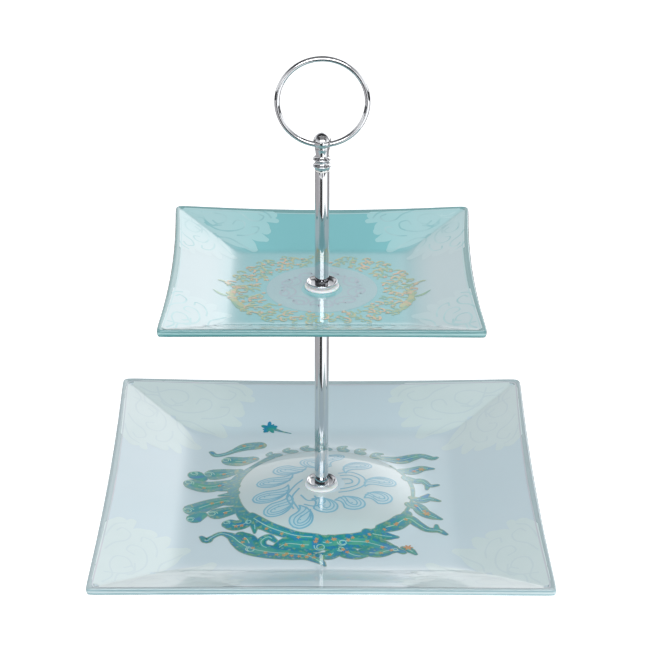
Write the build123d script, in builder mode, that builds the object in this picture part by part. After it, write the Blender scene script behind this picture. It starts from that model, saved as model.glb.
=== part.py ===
"""Two-tier cake stand, modelled in millimetres with +Z up and the origin on the table, under the rod.

Two square glass plates are clamped between chromed tubes. The lower plate's floor rises to a shallow
dome, so the plate stands on the flat glass around it and the base screw stays clear of the table. The
upper plate's floor is flat. A stud joins the two tubes through the upper plate, and a turned finial
with a ring handle screws on top.
"""

import os
from math import atan, atan2, degrees, sin, tan

from build123d import *

# Glass plates. A plate's size is taken corner to corner, and its sides bow inwards from that square.
GLASS = 4.0
LOWER_SIZE = 252.5
LOWER_FLOOR = 158.0
LOWER_RISE = 15.7
LOWER_BOW = 2.0
LOWER_BEND = 45.0
UPPER_SIZE = 174.5
UPPER_FLOOR = 98.0
UPPER_RISE = 14.4
UPPER_BOW = 3.2
UPPER_BEND = 20.0
CORNER_RADIUS = 4.0
HOLE_RADIUS = 5.0

# The lower plate's dome: a flat seat for the hub, a convex crown and a concave foot that blend.
DOME_HEIGHT = 8.5
DOME_SEAT = 11.0
DOME_EDGE = 70.0
CROWN_SHARE = 0.7

# Chromed tube, the threaded inserts inside it and the threads that pull the stack together.
TUBE_RADIUS = 4.0
TUBE_WALL = 0.7
INSERT_LENGTH = 12.0
INSERT_GAP = 0.01
THREAD_RADIUS = 2.5
THREAD_GAP = 0.03
PASS_GAP = 0.08
ENGAGED = 9.0
CHAMFER = 0.4

# Hub stack above and below each plate.
GASKET_RADIUS = 9.75
GASKET_THICK = 1.3
GASKET_ROUND = 0.4
SPIGOT_RADIUS = HOLE_RADIUS - 0.05
SPIGOT_LENGTH = 3.0
CUP_RADIUS = 8.85
CUP_BASE = 7.9
CUP_HEIGHT = 2.5
CUP_FLOOR = 0.8
CUP_WALL = 0.7
SOCKET_DEPTH = 0.2

# Base screw and washer under the lower plate.
WASHER_RADIUS = 9.0
WASHER_THICK = 1.2
HEAD_RADIUS = 5.0
HEAD_HEIGHT = 2.8
RECESS_ARM = 4.6
RECESS_WIDTH = 1.1
RECESS_DEPTH = 1.6

# Finial, its washer and the ring handle. Heights are measured from the finial's foot.
SLIP_RADIUS = 3.9
SLIP_THICK = 0.4
FOOT_RADIUS = 4.0
COLLAR_RADIUS = 5.15
COLLAR_LAND = 0.5
COLLAR_HEIGHTS = (2.6, 6.5)
GROOVE_RADIUS = 3.7
NECK_LOW = (3.5, 8.1)
NECK_HIGH = (4.1, 12.6)
BALL_RADIUS = 4.8
BALL_HEIGHT = 16.5
RING_RADIUS = 24.5
WIRE_RADIUS = 1.5
RING_GAP = 0.02
RING_LIFT = 22.5

# Heights of the stack, from the table up.
TIER_HEIGHT = 135.5
UPPER_TUBE_LENGTH = 68.2
lower_seat = DOME_HEIGHT + GLASS
lower_tube_foot = lower_seat + GASKET_THICK + CUP_FLOOR - SOCKET_DEPTH
lower_tube_head = TIER_HEIGHT - GASKET_THICK - CUP_FLOOR + SOCKET_DEPTH
upper_seat = TIER_HEIGHT + GLASS
upper_tube_foot = upper_seat + GASKET_THICK + CUP_FLOOR - SOCKET_DEPTH
upper_tube_head = upper_tube_foot + UPPER_TUBE_LENGTH
finial_foot = upper_tube_head + SLIP_THICK
ball_centre = finial_foot + BALL_HEIGHT
ring_centre = ball_centre + RING_LIFT
washer_foot = DOME_HEIGHT - GASKET_THICK - WASHER_THICK

UPWARD = (Align.CENTER, Align.CENTER, Align.MIN)


def trough_section(half_floor, base, slope, bend, reach):
    """The space above a bent sheet, seen end on: a flat floor, two bends and two straight slopes."""
    shoulder = base + (reach - half_floor) * tan(slope)
    lip = shoulder + 10
    with BuildSketch() as section:
        with BuildLine():
            FilletPolyline(
                (-reach, shoulder),
                (-half_floor, base),
                (half_floor, base),
                (reach, shoulder),
                radius=bend,
            )
            Polyline((reach, shoulder), (reach, lip), (-reach, lip), (-reach, shoulder))
        make_face()
    return section.sketch


def basin(half_floor, base, slope, bend, reach):
    """The space above a square dish: where a trough along X and a trough along Y agree."""
    section = trough_section(half_floor, base, slope, bend, reach)
    with BuildPart() as space:
        with BuildSketch(Plane.XZ):
            add(section)
        extrude(amount=reach, both=True)
        with BuildSketch(Plane.YZ):
            add(section)
        extrude(amount=reach, both=True, mode=Mode.INTERSECT)
    return space.part


def bowed_square(half, bow):
    """A square whose four sides are arcs that bow inwards, with rounded corners."""
    side = [Vector(-half, -half), Vector(0, bow - half), Vector(half, -half)]
    with BuildSketch() as outline:
        with BuildLine():
            for turn in (0, 90, 180, 270):
                ThreePointArc(*[point.rotate(Axis.Z, turn) for point in side])
        make_face()
        fillet(outline.vertices(), CORNER_RADIUS)
    return outline.sketch


def square_dish(size, floor, rise, bow, bend, base):
    """A glass sheet of even thickness with a flat floor and four mitred slopes, on z = base."""
    half = size / 2
    slope = atan2(rise, half - floor / 2)
    under = floor / 2 + GLASS * tan(slope / 2)
    with BuildPart() as sheet:
        add(basin(under, base, slope, bend + GLASS, half + 20))
        add(basin(floor / 2, base + GLASS, slope, bend, half + 20), mode=Mode.SUBTRACT)
        with BuildSketch(Plane.XY.offset(base)):
            add(bowed_square(half, bow))
        extrude(amount=rise + 2 * GLASS, mode=Mode.INTERSECT)
    return sheet.part


def dome_section():
    """Half of the domed disc, seen end on, from the axis out to the flat glass around it."""
    span = DOME_EDGE - DOME_SEAT
    tilt = 2 * atan(DOME_HEIGHT / span)
    radii = span / sin(tilt)
    with BuildSketch() as section:
        with BuildLine():
            ends = []
            for face in (0, GLASS):
                seat = Line((0, DOME_HEIGHT + face), (DOME_SEAT, DOME_HEIGHT + face))
                crown = JernArc(seat @ 1, (1, 0), CROWN_SHARE * radii, -degrees(tilt))
                foot = JernArc(crown @ 1, crown % 1, (1 - CROWN_SHARE) * radii, degrees(tilt))
                ends.append((seat @ 0, foot @ 1))
            Line(ends[0][0], ends[1][0])
            Line(ends[0][1], ends[1][1])
        make_face()
    return section.sketch


def insert_at(z, length=INSERT_LENGTH):
    """A threaded brass insert that fits inside the tube, its lower end at height z."""
    with BuildPart() as insert:
        with Locations((0, 0, z)):
            Cylinder(TUBE_RADIUS - TUBE_WALL - INSERT_GAP, length, align=UPWARD)
        chamfer(insert.edges().filter_by(GeomType.CIRCLE), CHAMFER)
        with Locations((0, 0, z)):
            Cylinder(THREAD_RADIUS + THREAD_GAP, length, align=UPWARD, mode=Mode.SUBTRACT)
    return insert.part


def stud_between(low, high):
    """A fully threaded M5 stud with both ends chamfered."""
    with BuildPart() as stud:
        with Locations((0, 0, low)):
            Cylinder(THREAD_RADIUS, high - low, align=UPWARD)
        chamfer(stud.edges().filter_by(GeomType.CIRCLE), CHAMFER)
    return stud.part


def tube_between(low, high):
    """A plain chromed tube."""
    with BuildPart() as tube:
        with Locations((0, 0, low)):
            Cylinder(TUBE_RADIUS, high - low, align=UPWARD)
            Cylinder(TUBE_RADIUS - TUBE_WALL, high - low, align=UPWARD, mode=Mode.SUBTRACT)
    return tube.part


def gasket_at(z, spigot=False):
    """A soft ring between metal and glass. With a spigot, it also keeps the stud off the hole."""
    with BuildPart() as gasket:
        with Locations((0, 0, z)):
            Cylinder(GASKET_RADIUS, GASKET_THICK, align=UPWARD)
        fillet(gasket.edges().filter_by(GeomType.CIRCLE), GASKET_ROUND)
        if spigot:
            with Locations((0, 0, z - SPIGOT_LENGTH)):
                Cylinder(SPIGOT_RADIUS, SPIGOT_LENGTH + 0.5, align=UPWARD)
        with Locations((0, 0, z)):
            Cylinder(THREAD_RADIUS + PASS_GAP, 3 * SPIGOT_LENGTH, mode=Mode.SUBTRACT)
    return gasket.part


def cup_at(z, upward=1):
    """A spun saucer that seats the tube's end. Its floor is at height z and it opens up or down."""
    outer_slope = (CUP_RADIUS - CUP_BASE) / CUP_HEIGHT
    inner_base = CUP_BASE - CUP_WALL + outer_slope * CUP_FLOOR
    socket = TUBE_RADIUS + INSERT_GAP
    profile = [
        (THREAD_RADIUS + PASS_GAP, 0),
        (CUP_BASE, 0),
        (CUP_RADIUS, CUP_HEIGHT),
        (CUP_RADIUS - CUP_WALL, CUP_HEIGHT),
        (inner_base, CUP_FLOOR),
        (socket, CUP_FLOOR),
        (socket, CUP_FLOOR - SOCKET_DEPTH),
        (THREAD_RADIUS + PASS_GAP, CUP_FLOOR - SOCKET_DEPTH),
    ]
    with BuildPart() as cup:
        with BuildSketch(Plane.XZ):
            with BuildLine():
                Polyline(*[(radius, z + upward * height) for radius, height in profile], close=True)
            make_face()
        revolve(axis=Axis.Z)
        lips = cup.edges().filter_by(
            lambda edge: edge.geom_type == GeomType.CIRCLE and edge.radius > CUP_BASE - 0.1
        )
        fillet(lips, 0.3)
    return cup.part


def finial_section():
    """Half of the turned finial, seen end on: foot, two knife-edged collars, flared neck."""
    with BuildSketch() as section:
        with BuildLine():
            foot = Vector(FOOT_RADIUS, finial_foot + 0.6)
            rims = [Vector(COLLAR_RADIUS, finial_foot + height) for height in COLLAR_HEIGHTS]
            land = Vector(0, COLLAR_LAND / 2)
            groove = (GROOVE_RADIUS, (rims[0].Y + rims[1].Y) / 2)
            neck = [(radius, finial_foot + height) for radius, height in (NECK_LOW, NECK_HIGH)]
            Polyline((0, neck[1][1]), (0, finial_foot), (FOOT_RADIUS, finial_foot), foot)
            Spline(foot, rims[0] - land, tangents=((0, 1), (1, 0.3)))
            Line(rims[0] - land, rims[0] + land)
            Spline(rims[0] + land, groove, rims[1] - land, tangents=((-1, 0.3), (1, 0.3)))
            Line(rims[1] - land, rims[1] + land)
            Spline(rims[1] + land, neck[0], tangents=((-1, 0.3), (0, 1)))
            Polyline(neck[0], neck[1], (0, neck[1][1]))
        make_face()
    return section.sketch


os.makedirs("parts", exist_ok=True)

# Lower tier: the domed plate on the table, with a gasket on each face of its centre.
with BuildPart() as lower_plate:
    add(square_dish(LOWER_SIZE, LOWER_FLOOR, LOWER_RISE, LOWER_BOW, LOWER_BEND, 0))
    Cylinder(DOME_EDGE, GLASS, align=UPWARD, mode=Mode.SUBTRACT)
    with BuildSketch(Plane.XZ):
        add(dome_section())
    revolve(axis=Axis.Z)
    with Locations((0, 0, DOME_HEIGHT)):
        Cylinder(HOLE_RADIUS, 4 * GLASS, mode=Mode.SUBTRACT)
lower_plate.part.label = "lower_plate"
export_step(lower_plate.part, "parts/lower_plate.step")

with BuildPart() as lower_top_gasket:
    add(gasket_at(lower_seat, spigot=True))
lower_top_gasket.part.label = "lower_top_gasket"
export_step(lower_top_gasket.part, "parts/lower_top_gasket.step")

with BuildPart() as lower_bottom_gasket:
    add(gasket_at(DOME_HEIGHT - GASKET_THICK))
lower_bottom_gasket.part.label = "lower_bottom_gasket"
export_step(lower_bottom_gasket.part, "parts/lower_bottom_gasket.step")

# Base screw and washer, which pull the lower tube down on to the plate.
with BuildPart() as base_washer:
    with Locations((0, 0, washer_foot)):
        Cylinder(WASHER_RADIUS, WASHER_THICK, align=UPWARD)
    chamfer(base_washer.edges().group_by(Axis.Z)[0], 0.3)
    with Locations((0, 0, washer_foot)):
        Cylinder(THREAD_RADIUS + PASS_GAP, WASHER_THICK, align=UPWARD, mode=Mode.SUBTRACT)
base_washer.part.label = "base_washer"
export_step(base_washer.part, "parts/base_washer.step")

with BuildPart() as base_screw:
    with Locations((0, 0, washer_foot - HEAD_HEIGHT)):
        Cylinder(HEAD_RADIUS, HEAD_HEIGHT, align=UPWARD)
    fillet(base_screw.edges().group_by(Axis.Z)[0], 1.2)
    with Locations((0, 0, washer_foot)):
        Cylinder(THREAD_RADIUS, lower_tube_foot + ENGAGED - washer_foot, align=UPWARD)
    chamfer(base_screw.edges().group_by(Axis.Z)[-1], CHAMFER)
    with Locations((0, 0, washer_foot - HEAD_HEIGHT)):
        for arm in ((RECESS_ARM, RECESS_WIDTH), (RECESS_WIDTH, RECESS_ARM)):
            Box(*arm, RECESS_DEPTH, align=UPWARD, mode=Mode.SUBTRACT)
base_screw.part.label = "base_screw"
export_step(base_screw.part, "parts/base_screw.step")

# Lower tube with an insert in each end, standing in a cup.
with BuildPart() as lower_top_cup:
    add(cup_at(lower_seat + GASKET_THICK))
lower_top_cup.part.label = "lower_top_cup"
export_step(lower_top_cup.part, "parts/lower_top_cup.step")

with BuildPart() as lower_tube:
    add(tube_between(lower_tube_foot, lower_tube_head))
lower_tube.part.label = "lower_tube"
export_step(lower_tube.part, "parts/lower_tube.step")

with BuildPart() as lower_tube_bottom_insert:
    add(insert_at(lower_tube_foot))
lower_tube_bottom_insert.part.label = "lower_tube_bottom_insert"
export_step(lower_tube_bottom_insert.part, "parts/lower_tube_bottom_insert.step")

with BuildPart() as lower_tube_top_insert:
    add(insert_at(lower_tube_head - INSERT_LENGTH))
lower_tube_top_insert.part.label = "lower_tube_top_insert"
export_step(lower_tube_top_insert.part, "parts/lower_tube_top_insert.step")

# Upper tier: the flat-floored plate between two cups and two gaskets, with the stud through it.
with BuildPart() as upper_bottom_cup:
    add(cup_at(TIER_HEIGHT - GASKET_THICK, upward=-1))
upper_bottom_cup.part.label = "upper_bottom_cup"
export_step(upper_bottom_cup.part, "parts/upper_bottom_cup.step")

with BuildPart() as upper_bottom_gasket:
    add(gasket_at(TIER_HEIGHT - GASKET_THICK))
upper_bottom_gasket.part.label = "upper_bottom_gasket"
export_step(upper_bottom_gasket.part, "parts/upper_bottom_gasket.step")

with BuildPart() as upper_plate:
    add(square_dish(UPPER_SIZE, UPPER_FLOOR, UPPER_RISE, UPPER_BOW, UPPER_BEND, TIER_HEIGHT))
    with Locations((0, 0, TIER_HEIGHT)):
        Cylinder(HOLE_RADIUS, 4 * GLASS, mode=Mode.SUBTRACT)
upper_plate.part.label = "upper_plate"
export_step(upper_plate.part, "parts/upper_plate.step")

with BuildPart() as upper_top_gasket:
    add(gasket_at(upper_seat, spigot=True))
upper_top_gasket.part.label = "upper_top_gasket"
export_step(upper_top_gasket.part, "parts/upper_top_gasket.step")

with BuildPart() as upper_top_cup:
    add(cup_at(upper_seat + GASKET_THICK))
upper_top_cup.part.label = "upper_top_cup"
export_step(upper_top_cup.part, "parts/upper_top_cup.step")

with BuildPart() as joiner_stud:
    add(stud_between(lower_tube_head - ENGAGED, upper_tube_foot + ENGAGED))
joiner_stud.part.label = "joiner_stud"
export_step(joiner_stud.part, "parts/joiner_stud.step")

# Upper tube with an insert in each end.
with BuildPart() as upper_tube:
    add(tube_between(upper_tube_foot, upper_tube_head))
upper_tube.part.label = "upper_tube"
export_step(upper_tube.part, "parts/upper_tube.step")

with BuildPart() as upper_tube_bottom_insert:
    add(insert_at(upper_tube_foot))
upper_tube_bottom_insert.part.label = "upper_tube_bottom_insert"
export_step(upper_tube_bottom_insert.part, "parts/upper_tube_bottom_insert.step")

with BuildPart() as upper_tube_top_insert:
    add(insert_at(upper_tube_head - INSERT_LENGTH))
upper_tube_top_insert.part.label = "upper_tube_top_insert"
export_step(upper_tube_top_insert.part, "parts/upper_tube_top_insert.step")

# Handle: a slip washer on the tube, then the finial with its stud and its ring.
with BuildPart() as handle_washer:
    with Locations((0, 0, upper_tube_head)):
        Cylinder(SLIP_RADIUS, SLIP_THICK, align=UPWARD)
        Cylinder(THREAD_RADIUS + PASS_GAP, SLIP_THICK, align=UPWARD, mode=Mode.SUBTRACT)
handle_washer.part.label = "handle_washer"
export_step(handle_washer.part, "parts/handle_washer.step")

with BuildPart() as ring_handle:
    with Locations(Location((0, 0, ring_centre), (90, 0, 0))):
        Torus(RING_RADIUS, WIRE_RADIUS)
ring_handle.part.label = "ring_handle"
export_step(ring_handle.part, "parts/ring_handle.step")

with BuildPart() as finial:
    with BuildSketch(Plane.XZ):
        add(finial_section())
    revolve(axis=Axis.Z)
    with Locations((0, 0, ball_centre)):
        Sphere(BALL_RADIUS)
    with Locations((0, 0, finial_foot)):
        Cylinder(THREAD_RADIUS + THREAD_GAP, ENGAGED, align=UPWARD, mode=Mode.SUBTRACT)
    with Locations(Location((0, 0, ring_centre), (90, 0, 0))):
        Torus(RING_RADIUS, WIRE_RADIUS + RING_GAP, mode=Mode.SUBTRACT)
finial.part.label = "finial"
export_step(finial.part, "parts/finial.step")

with BuildPart() as handle_stud:
    add(stud_between(upper_tube_head - ENGAGED, finial_foot + ENGAGED))
handle_stud.part.label = "handle_stud"
export_step(handle_stud.part, "parts/handle_stud.step")
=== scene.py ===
"""Looks of the two-tier glass cake stand: printed glass plates, chromed rod, gaskets, finial and studio.

Every length inside the shape functions is in millimetres and turns to metres when a mesh is made.
"""
import math

import bmesh
import bpy
import numpy as np
from bpy.props import FloatProperty, FloatVectorProperty, IntProperty, PointerProperty
from mathutils import Matrix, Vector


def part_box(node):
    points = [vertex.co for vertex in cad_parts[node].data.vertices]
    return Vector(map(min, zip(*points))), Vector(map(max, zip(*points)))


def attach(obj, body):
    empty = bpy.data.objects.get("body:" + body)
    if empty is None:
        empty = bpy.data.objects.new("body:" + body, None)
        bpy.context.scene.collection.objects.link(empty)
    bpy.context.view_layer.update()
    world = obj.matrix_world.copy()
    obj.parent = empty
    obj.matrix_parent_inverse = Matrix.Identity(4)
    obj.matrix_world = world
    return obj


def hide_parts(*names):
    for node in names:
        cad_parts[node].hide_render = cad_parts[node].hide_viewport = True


bl_info = {
    "name": "Tiered cake stand",
    "version": (1, 0, 0),
    "blender": (4, 5, 0),
    "location": "View3D > Sidebar > Cake stand",
    "description": "Builds the glass, print, chrome and studio of a two-tier cake stand",
    "category": "Add Mesh",
}

MM = 0.001
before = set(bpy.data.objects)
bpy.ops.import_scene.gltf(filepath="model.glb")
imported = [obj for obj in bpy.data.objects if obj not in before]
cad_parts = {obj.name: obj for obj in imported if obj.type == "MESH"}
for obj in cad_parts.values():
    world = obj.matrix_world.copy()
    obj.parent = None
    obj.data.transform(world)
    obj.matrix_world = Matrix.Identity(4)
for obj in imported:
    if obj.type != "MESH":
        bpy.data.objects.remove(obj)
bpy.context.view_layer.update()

# The CAD body and material slot of each plate's pieces.
HOMES = {"lower": ("base", "glass_lower"), "upper": ("upper_tier", "glass_upper")}


def node_mm(node):
    """The lowest and highest corner of a CAD node, in millimetres."""
    low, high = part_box(node)
    return np.array(low) / MM, np.array(high) / MM


# Shapes ---------------------------------------------------------------------------------------

def smooth(a, b, t):
    """A ramp from 0 at a to 1 at b, level at both ends: 3u squared less 2u cubed."""
    u = np.clip((t - a) / (b - a), 0, 1)
    return u * u * (3 - 2 * u)


def trough(t, crease, rise, half, bend):
    """Height of a bent sheet at distance t: level, an arc of radius bend, then a straight slope."""
    slope = math.atan2(rise, half - crease)
    start = crease - bend * math.tan(slope / 2)
    arc = bend - np.sqrt(np.maximum(bend**2 - np.clip(t - start, 0, bend) ** 2, 0))
    straight = (t - crease) * math.tan(slope)
    return np.where(t < start, 0, np.where(t < start + bend * math.sin(slope), arc, straight))


def dome(r, height, seat, edge, crown_share):
    """Height of the raised floor at radius r: a level seat, a convex arc, then a concave arc."""
    span = edge - seat
    tilt = 2 * math.atan(height / span)
    crown = crown_share * span / math.sin(tilt)
    foot = (1 - crown_share) * span / math.sin(tilt)
    turn = seat + crown * math.sin(tilt)
    convex = height - crown + np.sqrt(np.maximum(crown**2 - np.clip(r - seat, 0, crown) ** 2, 0))
    concave = foot - np.sqrt(np.maximum(foot**2 - np.clip(edge - r, 0, foot) ** 2, 0))
    return np.where(r < turn, convex, concave)


def plate_height(p, x, y, under=False):
    """Height of a plate's top, or of its underside, over the point x, y.

    The larger of one trough along X and one along Y, blended near the floor where the mitre is soft,
    plus the dome. The underside is the same sheet offset by the glass.
    """
    slope = math.atan2(p.rise, p.half - p.crease)
    grow = p.glass * math.tan(slope / 2) if under else 0
    bend = p.bend + (p.glass if under else 0)
    a = trough(np.abs(x), p.crease + grow, p.rise, p.half + grow, bend)
    b = trough(np.abs(y), p.crease + grow, p.rise, p.half + grow, bend)
    soft = p.mitre * np.exp(-np.maximum(a, b) / 3.5)
    z = (a + b + np.sqrt((a - b) ** 2 + soft**2) - soft) / 2
    if p.dome_height > 0:
        z = z + dome(np.hypot(x, y), p.dome_height, p.dome_seat, p.dome_edge, 0.7)
    return p.base + z + (0 if under else p.glass)


def rim_radius(p, phi):
    """Distance from the rod to the outline at angle phi: four sides that bow inwards.

    A side is the line x = half - bow (1 - (y / half) squared), solved for x at y = x tan phi. The
    corner is rounded by the soft minimum of the two sides that meet there.
    """
    def side(c, s):
        k = p.bow * (s / np.maximum(c, 0.3)) ** 2 / p.half**2
        level = p.half - p.bow
        return 2 * level / (1 + np.sqrt(np.maximum(1 - 4 * k * level, 0))) / np.maximum(c, 0.3)

    c, s = np.abs(np.cos(phi)), np.abs(np.sin(phi))
    a, b = side(c, s), side(s, c)
    return (a + b - np.sqrt((a - b) ** 2 + p.corner**2)) / 2


def grid_faces(rows, cols, wrap_rows=False, wrap_cols=False):
    """Quads of a rows by cols grid of points, joined end to end where it wraps."""
    i = np.arange(rows if wrap_rows else rows - 1)[:, None]
    j = np.arange(cols if wrap_cols else cols - 1)[None, :]
    a, b = i * cols + j, i * cols + (j + 1) % cols
    c, d = (i + 1) % rows * cols + (j + 1) % cols, (i + 1) % rows * cols + j
    return np.stack([a, b, c, d], axis=-1).reshape(-1, 4)


def make_piece(name, body, slot_name, verts, faces, materials, face_slots=None, closed=True, sharp=40):
    """Puts points in millimetres and faces into a smooth-shaded mesh that rides on a CAD body."""
    mesh = bpy.data.meshes.new(name)
    mesh.from_pydata((np.asarray(verts) * MM).tolist(), [], np.asarray(faces).tolist())
    for material in materials:
        mesh.materials.append(material)
    if face_slots is not None:
        mesh.polygons.foreach_set("material_index", np.asarray(face_slots, dtype=np.int32))
    shell = bmesh.new()
    shell.from_mesh(mesh)
    bmesh.ops.remove_doubles(shell, verts=shell.verts, dist=1e-7)
    if closed:
        bmesh.ops.recalc_face_normals(shell, faces=shell.faces)
    shell.to_mesh(mesh)
    shell.free()
    mesh.shade_smooth()
    mesh.set_sharp_from_angle(angle=math.radians(sharp))
    piece = bpy.data.objects.new(name, mesh)
    bpy.context.scene.collection.objects.link(piece)
    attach(piece, body)
    return piece


def plate_shell(p):
    """Points of a plate as a closed loop of rings: top, pencil edge, underside, hole wall.

    Ring k at angle phi lies at a share of the way from the hole to the rim. Near the hole the rings
    are circles and past the bend they follow the rim's shape. The edge is half an ellipse, a fifth of
    its bulge higher than the middle of the glass, so it looks ground round.
    """
    quarter = np.sin(np.linspace(-1, 1, p.side_steps, endpoint=False) * math.pi / 2)
    phi = np.concatenate([np.arctan(quarter) + k * math.pi / 2 for k in range(4)])
    inset = p.edge_round
    share = np.linspace(0, 1, p.ring_steps)[:, None]
    rim = rim_radius(p, phi)[None, :]
    square = smooth(0.35, 0.55, share)
    radius = p.hole + share * ((1 - square) * p.half + square * rim - p.hole)
    scale = (rim - inset - p.hole) / (radius[-1:] - p.hole)
    radius = p.hole + (radius - p.hole) * scale
    x, y = radius * np.cos(phi), radius * np.sin(phi)
    top, under = plate_height(p, x, y), plate_height(p, x, y, under=True)
    alpha = np.linspace(math.pi / 2, -math.pi / 2, p.edge_steps + 2)[1:-1, None]
    bulge = radius[-1:] + inset * np.cos(alpha)
    middle, half_thick = (top[-1:] + under[-1:]) / 2, (top[-1:] - under[-1:]) / 2
    edge_z = middle + (bulge - radius[-1:]) * 0.2 + half_thick * np.sin(alpha)
    edge = np.stack([bulge * np.cos(phi), bulge * np.sin(phi), edge_z], -1)
    rings = [np.stack([x, y, top], -1), edge, np.stack([x, y, under], -1)[::-1]]
    counts = [len(ring) for ring in rings]
    return np.concatenate(rings).reshape(-1, 3), counts, len(phi)


def spine(x, y, heading, length, turn=0.0, curl=0.0, steps=40, power=3):
    """A scroll's centre line and its headings: the heading turns evenly, then ever faster.

    The heading is heading + turn s + curl s to the power, and the point is the running sum of its
    direction, with s from 0 to 1.
    """
    s = np.linspace(0, 1, steps)
    angle = np.radians(heading + turn * s + curl * s**power)
    step = np.stack([np.cos(angle), np.sin(angle)], -1) * length / (steps - 1)
    points = np.array([x, y]) + np.concatenate([np.zeros((1, 2)), np.cumsum((step[1:] + step[:-1]) / 2, 0)])
    return points, angle


def ribbon(points, angle, left, right, closed=False, cell=1.3):
    """Quads across a line: at each point the sheet reaches left and right along the normal."""
    normal = np.stack([-np.sin(angle), np.cos(angle)], -1)
    widest = float(np.max(np.abs(left) + np.abs(right)))
    cross = max(2, int(math.ceil(widest / cell)) + 1)
    across = np.linspace(0, 1, cross)[None, :, None]
    reach = -np.asarray(right)[:, None, None] * (1 - across) + np.asarray(left)[:, None, None] * across
    grid = points[:, None, :] + normal[:, None, :] * reach
    return grid.reshape(-1, 2), grid_faces(len(points), cross, wrap_rows=closed)


# Lifts in millimetres: of the print over the glass, and of each shape over the one before it.
LIFT = 0.05
STEP = 0.0006


class Print:
    """Collects flat shapes in one ink and drapes them on a plate, each a hair above the one before."""

    def __init__(self, p, lift, border=3.2):
        self.p, self.lift, self.border = p, lift, border
        self.verts, self.faces, self.count = [], [], 0

    def add(self, points, faces):
        """Drapes flat points on the plate, pulled in where they would cross the clear rim."""
        reach = np.hypot(points[:, 0], points[:, 1])
        limit = rim_radius(self.p, np.arctan2(points[:, 1], points[:, 0])) - self.border
        points = points * np.minimum(1, limit / np.maximum(reach, 1e-6))[:, None]
        z = plate_height(self.p, points[:, 0], points[:, 1]) + self.lift + STEP * len(self.verts)
        self.verts.append(np.column_stack([points, z]))
        self.faces.append(faces + self.count)
        self.count += len(points)

    def stroke(self, points, angle, half, closed=False):
        """A line of even width."""
        wide = np.full(len(points), half)
        self.add(*ribbon(points, angle, wide, wide, closed))

    def brush(self, marks):
        """A brush stroke, no wider inside a bend than the bend's own radius."""
        points, angle, half = brush(marks)
        run = np.maximum(np.hypot(*np.gradient(points, axis=0).T), 1e-6)
        bend = np.gradient(angle) / run
        inner = np.minimum(half, 0.9 / np.maximum(np.abs(bend), 1e-6))
        left, right = np.where(bend > 0, inner, half), np.where(bend > 0, half, inner)
        self.add(*ribbon(points, angle, left, right))

    def disc(self, x, y, inner, outer, rings=12, around=96):
        """A flat ring, or a disc if inner is 0: circles of growing radius about x, y."""
        radius = np.linspace(inner, outer, rings)[:, None]
        phi = np.linspace(0, 2 * math.pi, around, endpoint=False)[None, :]
        points = np.stack([x + radius * np.cos(phi), y + radius * np.sin(phi)], -1).reshape(-1, 2)
        self.add(points, grid_faces(rings, around, wrap_cols=True))

    def rosette(self, x, y, radius, petals, turn=0.0):
        """A small flower: a disc whose radius swells once for each petal."""
        phi = np.linspace(0, 2 * math.pi, petals * 8, endpoint=False)
        edge = radius * (0.72 + 0.28 * np.cos(petals * phi + turn))
        share = np.linspace(0.02, 1, 4)[:, None]
        points = np.stack([x + share * edge * np.cos(phi), y + share * edge * np.sin(phi)], -1)
        self.add(points.reshape(-1, 2), grid_faces(4, len(phi), wrap_cols=True))

    def piece(self, name, material):
        """Makes the mesh, with every face looking up, and puts it on the plate that its name starts with."""
        verts, faces = np.concatenate(self.verts), np.concatenate(self.faces)
        a, b, c = verts[faces[:, 0]], verts[faces[:, 1]], verts[faces[:, 2]]
        down = np.cross(b - a, c - a)[:, 2] < 0
        faces[down] = faces[down][:, ::-1]
        return make_piece(name, *HOMES[name.split("_")[0]], verts, faces, [material], closed=False)


def scroll(paint, x, y, heading, side):
    """A small acanthus scroll: fat near its root, thin along its stem and ending in a round curl.

    The half width is sin(pi s to the 0.6) to the 0.8, thinned towards the tip, plus a bulb at the tip,
    and inside a bend it stays under the bend's radius. It turns clockwise where side is 1.
    """
    length, width, steps = 9.0, 0.8, 22
    points, angle = spine(x, y, heading, length, -60 * side, -230 * side, steps)
    s = np.linspace(0, 1, steps)
    half = width * np.sin(math.pi * s**0.6) ** 0.8 * (1 - 0.45 * s)
    half += 0.6 * width * np.exp(-(((s - 0.93) / 0.07) ** 2))
    half = np.maximum(half, 0.12)
    bend = np.gradient(angle) / (length / (steps - 1))
    inner = np.minimum(half, 0.8 / np.maximum(np.abs(bend), 1e-6))
    paint.add(*ribbon(points, angle, half, inner))


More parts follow.
